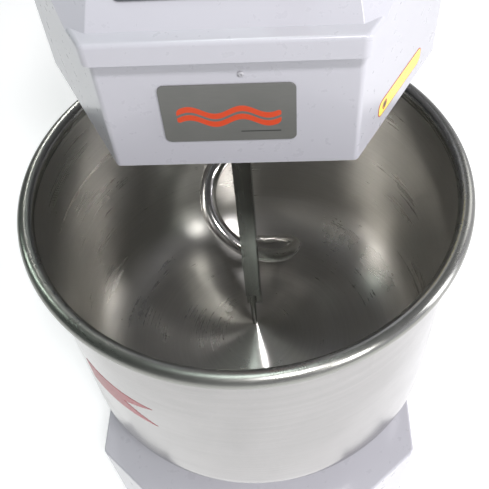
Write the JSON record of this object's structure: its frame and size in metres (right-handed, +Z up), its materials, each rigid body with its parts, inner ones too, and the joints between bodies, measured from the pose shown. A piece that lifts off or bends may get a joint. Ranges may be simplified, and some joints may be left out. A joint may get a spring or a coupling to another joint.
{
  "type": "spiral dough mixer",
  "caption": "Floor-standing spiral dough mixer: turning steel bowl under a fixed head, with a spiral hook beside a central breaker bar, belt driven from a motor in the rear column.",
  "frame": {"origin": "on the floor, at the middle of the overall box", "axes": "+Z up, -Y towards the user (bowl side), +X to the machine's left side as seen from behind it"},
  "size_m": [0.474, 0.85, 1],
  "materials": {
    "white_paint": "glossy white stove enamel",
    "grey_paint": "grey primer paint",
    "bowl_steel": "spun and polished stainless steel",
    "tool_steel": "ground stainless steel",
    "shaft_steel": "turned steel, lightly oiled",
    "fastener_steel": "bright zinc plating",
    "cast_iron": "sand-cast, machined on the faces",
    "belt_rubber": "woven rubber belt",
    "foot_rubber": "black moulded rubber",
    "motor_paint": "blue-grey machine enamel",
    "plate_grey": "satin anodised grey",
    "label_yellow": "printed yellow film",
    "decal_red": "red vinyl film",
    "fascia_grey": "textured dark grey overlay",
    "bezel_metal": "satin aluminium",
    "button_red": "moulded red",
    "button_green": "moulded green",
    "knob_black": "moulded black",
    "lamp_lens": "amber lens",
    "device_grey": "moulded device housings",
    "zinc_plate": "zinc-plated sheet",
    "gland_black": "black polyamide"
  },
  "bodies": {
    "machine": {"base_shell": "white_paint", "base_top_plate": "white_paint", "base_frame": "grey_paint", "foot_pads": "foot_rubber", "foot_stems": "fastener_steel", "foot_nuts": "fastener_steel", "column_shell": "white_paint", "column_posts": "grey_paint", "rear_cover": "white_paint", "rear_cover_screws": "fastener_steel", "cable_gland": "gland_black", "head_shell": "white_paint", "head_plate": "white_paint", "top_cover": "white_paint", "cover_screws": "fastener_steel", "name_plate": "plate_grey", "warning_sticker": "label_yellow", "control_fascia": "fascia_grey", "control_bezels": "bezel_metal", "power_lamp": "lamp_lens", "switch_blocks": "device_grey", "electrical_backplate": "zinc_plate", "contactors": "device_grey", "bowl_housing": "cast_iron", "bowl_bearings": "shaft_steel", "bowl_belts": "belt_rubber", "drive_bearing_units": "cast_iron", "upper_belts": "belt_rubber", "ribbed_belt": "belt_rubber", "spiral_housing": "cast_iron", "spiral_bearings": "shaft_steel", "housing_bolts": "fastener_steel", "bar_socket": "cast_iron", "breaker_bar": "tool_steel", "breaker_pin": "tool_steel", "motor_plate": "grey_paint", "motor_body": "motor_paint", "motor_fan_cowl": "motor_paint", "motor_terminal_box": "motor_paint"},
    "bowl_group": {"bowl": "bowl_steel", "bowl_decal": "decal_red", "bowl_flange": "shaft_steel", "bowl_bolts": "fastener_steel", "bowl_shaft": "shaft_steel", "bowl_pulley": "cast_iron"},
    "drive_group": {"drive_shaft": "shaft_steel", "drive_pulley_upper": "cast_iron", "drive_pulley_lower": "cast_iron"},
    "spiral_group": {"spiral_hook": "tool_steel", "hook_bolts": "fastener_steel", "spiral_shaft": "shaft_steel", "ribbed_pulley": "cast_iron", "spiral_pulley": "cast_iron"},
    "motor_group": {"motor_rotor": "shaft_steel", "motor_pulley": "cast_iron"},
    "estop": {"estop_button": "button_red"},
    "start": {"start_button": "button_green"},
    "stop": {"stop_button": "button_red"},
    "timer": {"timer_knob": "knob_black"},
    "selector": {"speed_selector": "knob_black"}
  },
  "joints": [
    {"name": "bowl_spin", "type": "hinge", "parent": "machine", "child": "bowl_group", "pos_m": [0, -0.188, 0.3], "axis": [0, 0, 1], "continuous": true},
    {"name": "spiral_spin", "type": "hinge", "parent": "machine", "child": "spiral_group", "pos_m": [0, -0.08, 0.74], "axis": [0, 0, 1], "continuous": true},
    {"name": "drive_spin", "type": "hinge", "parent": "machine", "child": "drive_group", "pos_m": [0, 0.102, 0.5], "axis": [0, 0, 1], "continuous": true},
    {"name": "motor_spin", "type": "hinge", "parent": "machine", "child": "motor_group", "pos_m": [0, 0.265, 0.6], "axis": [0, 0, 1], "continuous": true},
    {"name": "estop_push", "type": "slide", "parent": "machine", "child": "estop", "axis": [0, 0.8387, -0.5446], "range_m": [0, 0.004], "stiffness_N_per_m": 600, "springref_m": -0.002},
    {"name": "start_push", "type": "slide", "parent": "machine", "child": "start", "axis": [0, 0.8387, -0.5446], "range_m": [0, 0.003], "stiffness_N_per_m": 400, "springref_m": -0.002},
    {"name": "stop_push", "type": "slide", "parent": "machine", "child": "stop", "axis": [0, 0.8387, -0.5446], "range_m": [0, 0.003], "stiffness_N_per_m": 400, "springref_m": -0.002},
    {"name": "timer_turn", "type": "hinge", "parent": "machine", "child": "timer", "pos_m": [-0.058, -0.19333, 0.95332], "axis": [0, 0.8387, -0.5446], "range_deg": [0, 270]},
    {"name": "speed_turn", "type": "hinge", "parent": "machine", "child": "selector", "pos_m": [-0.013, -0.19224, 0.955], "axis": [0, 0.8387, -0.5446], "range_deg": [-30, 30]}
  ],
  "couplings": [
    {"joint": "drive_spin", "follows": "bowl_spin", "ratio": 5},
    {"joint": "spiral_spin", "follows": "bowl_spin", "ratio": 10},
    {"joint": "motor_spin", "follows": "bowl_spin", "ratio": 56}
  ]
}
